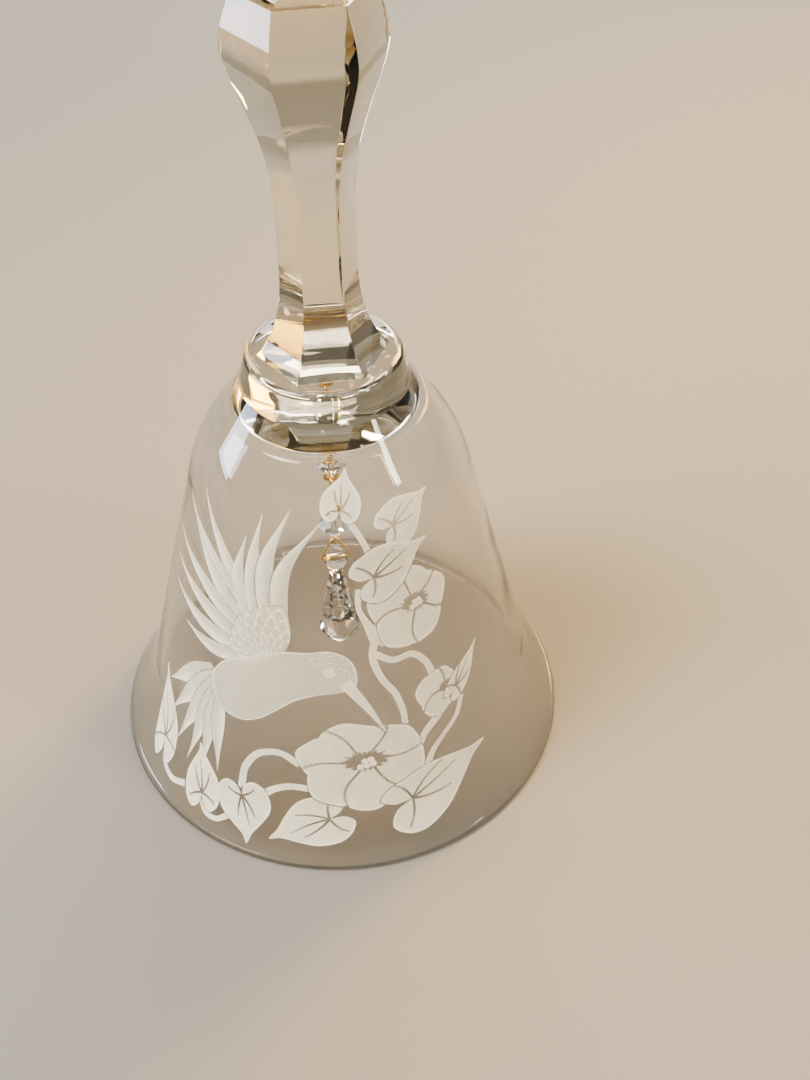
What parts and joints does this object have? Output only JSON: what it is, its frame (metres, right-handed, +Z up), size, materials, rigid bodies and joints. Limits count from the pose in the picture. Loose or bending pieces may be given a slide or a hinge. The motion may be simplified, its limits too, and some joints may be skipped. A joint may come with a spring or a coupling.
{
  "type": "hand bell",
  "caption": "Clear crystal hand bell with a flared bowl, a six-panel handle and a beaded clapper hanging on wire.",
  "frame": {"origin": "centre of the rim's flat foot, on which the bell stands", "axes": "+Z up the bell's axis towards the handle; two opposite handle panels face -Y and +Y"},
  "size_m": [0.095, 0.095, 0.1579],
  "materials": {
    "bowl_crystal": "clear lead crystal, polished, with a frosted design",
    "handle_crystal": "clear lead crystal, cut and polished",
    "cut_crystal": "clear cut crystal, polished facets",
    "gold_wire": "polished gold plate",
    "cement": "set cement, off-white"
  },
  "bodies": {
    "glass": {"bowl": "bowl_crystal", "collar": "handle_crystal", "handle": "handle_crystal", "eye_cement": "cement", "hanger_eye": "gold_wire"},
    "upper_link": {"upper_link": "gold_wire"},
    "upper_pin": {"upper_pin": "gold_wire"},
    "upper_bead": {"upper_bead": "cut_crystal"},
    "middle_link": {"middle_link": "gold_wire"},
    "lower_pin": {"lower_pin": "gold_wire"},
    "lower_bead": {"lower_bead": "cut_crystal"},
    "drop_clip": {"drop_clip": "gold_wire"},
    "drop": {"drop": "cut_crystal"}
  },
  "joints": [
    {"name": "upper_link_swing", "type": "hinge", "parent": "glass", "child": "upper_link", "pos_m": [0, 0, 0.0791], "axis": [1, 0, 0], "range_deg": [-26, 26]},
    {"name": "upper_pin_swing", "type": "hinge", "parent": "upper_link", "child": "upper_pin", "pos_m": [0, 0, 0.07165], "axis": [0, 1, 0], "range_deg": [-28, 28]},
    {"name": "upper_bead_spin", "type": "hinge", "parent": "upper_pin", "child": "upper_bead", "pos_m": [0, 0, 0.0673], "axis": [0, 0, 1], "continuous": true},
    {"name": "middle_link_swing", "type": "hinge", "parent": "upper_pin", "child": "middle_link", "pos_m": [0, 0, 0.06243], "axis": [-1, 0, 0], "range_deg": [-14, 14]},
    {"name": "lower_pin_swing", "type": "hinge", "parent": "middle_link", "child": "lower_pin", "pos_m": [0, 0, 0.05498], "axis": [0, -1, 0], "range_deg": [-14, 14]},
    {"name": "lower_bead_spin", "type": "hinge", "parent": "lower_pin", "child": "lower_bead", "pos_m": [0, 0, 0.0507], "axis": [0, 0, 1], "continuous": true},
    {"name": "clip_swing", "type": "hinge", "parent": "lower_pin", "child": "drop_clip", "pos_m": [0, 0, 0.04576], "axis": [0, -1, 0], "range_deg": [-12, 12]},
    {"name": "drop_swing", "type": "hinge", "parent": "drop_clip", "child": "drop", "pos_m": [0, 0, 0.04143], "axis": [-1, 0, 0], "range_deg": [-16, 16]}
  ]
}
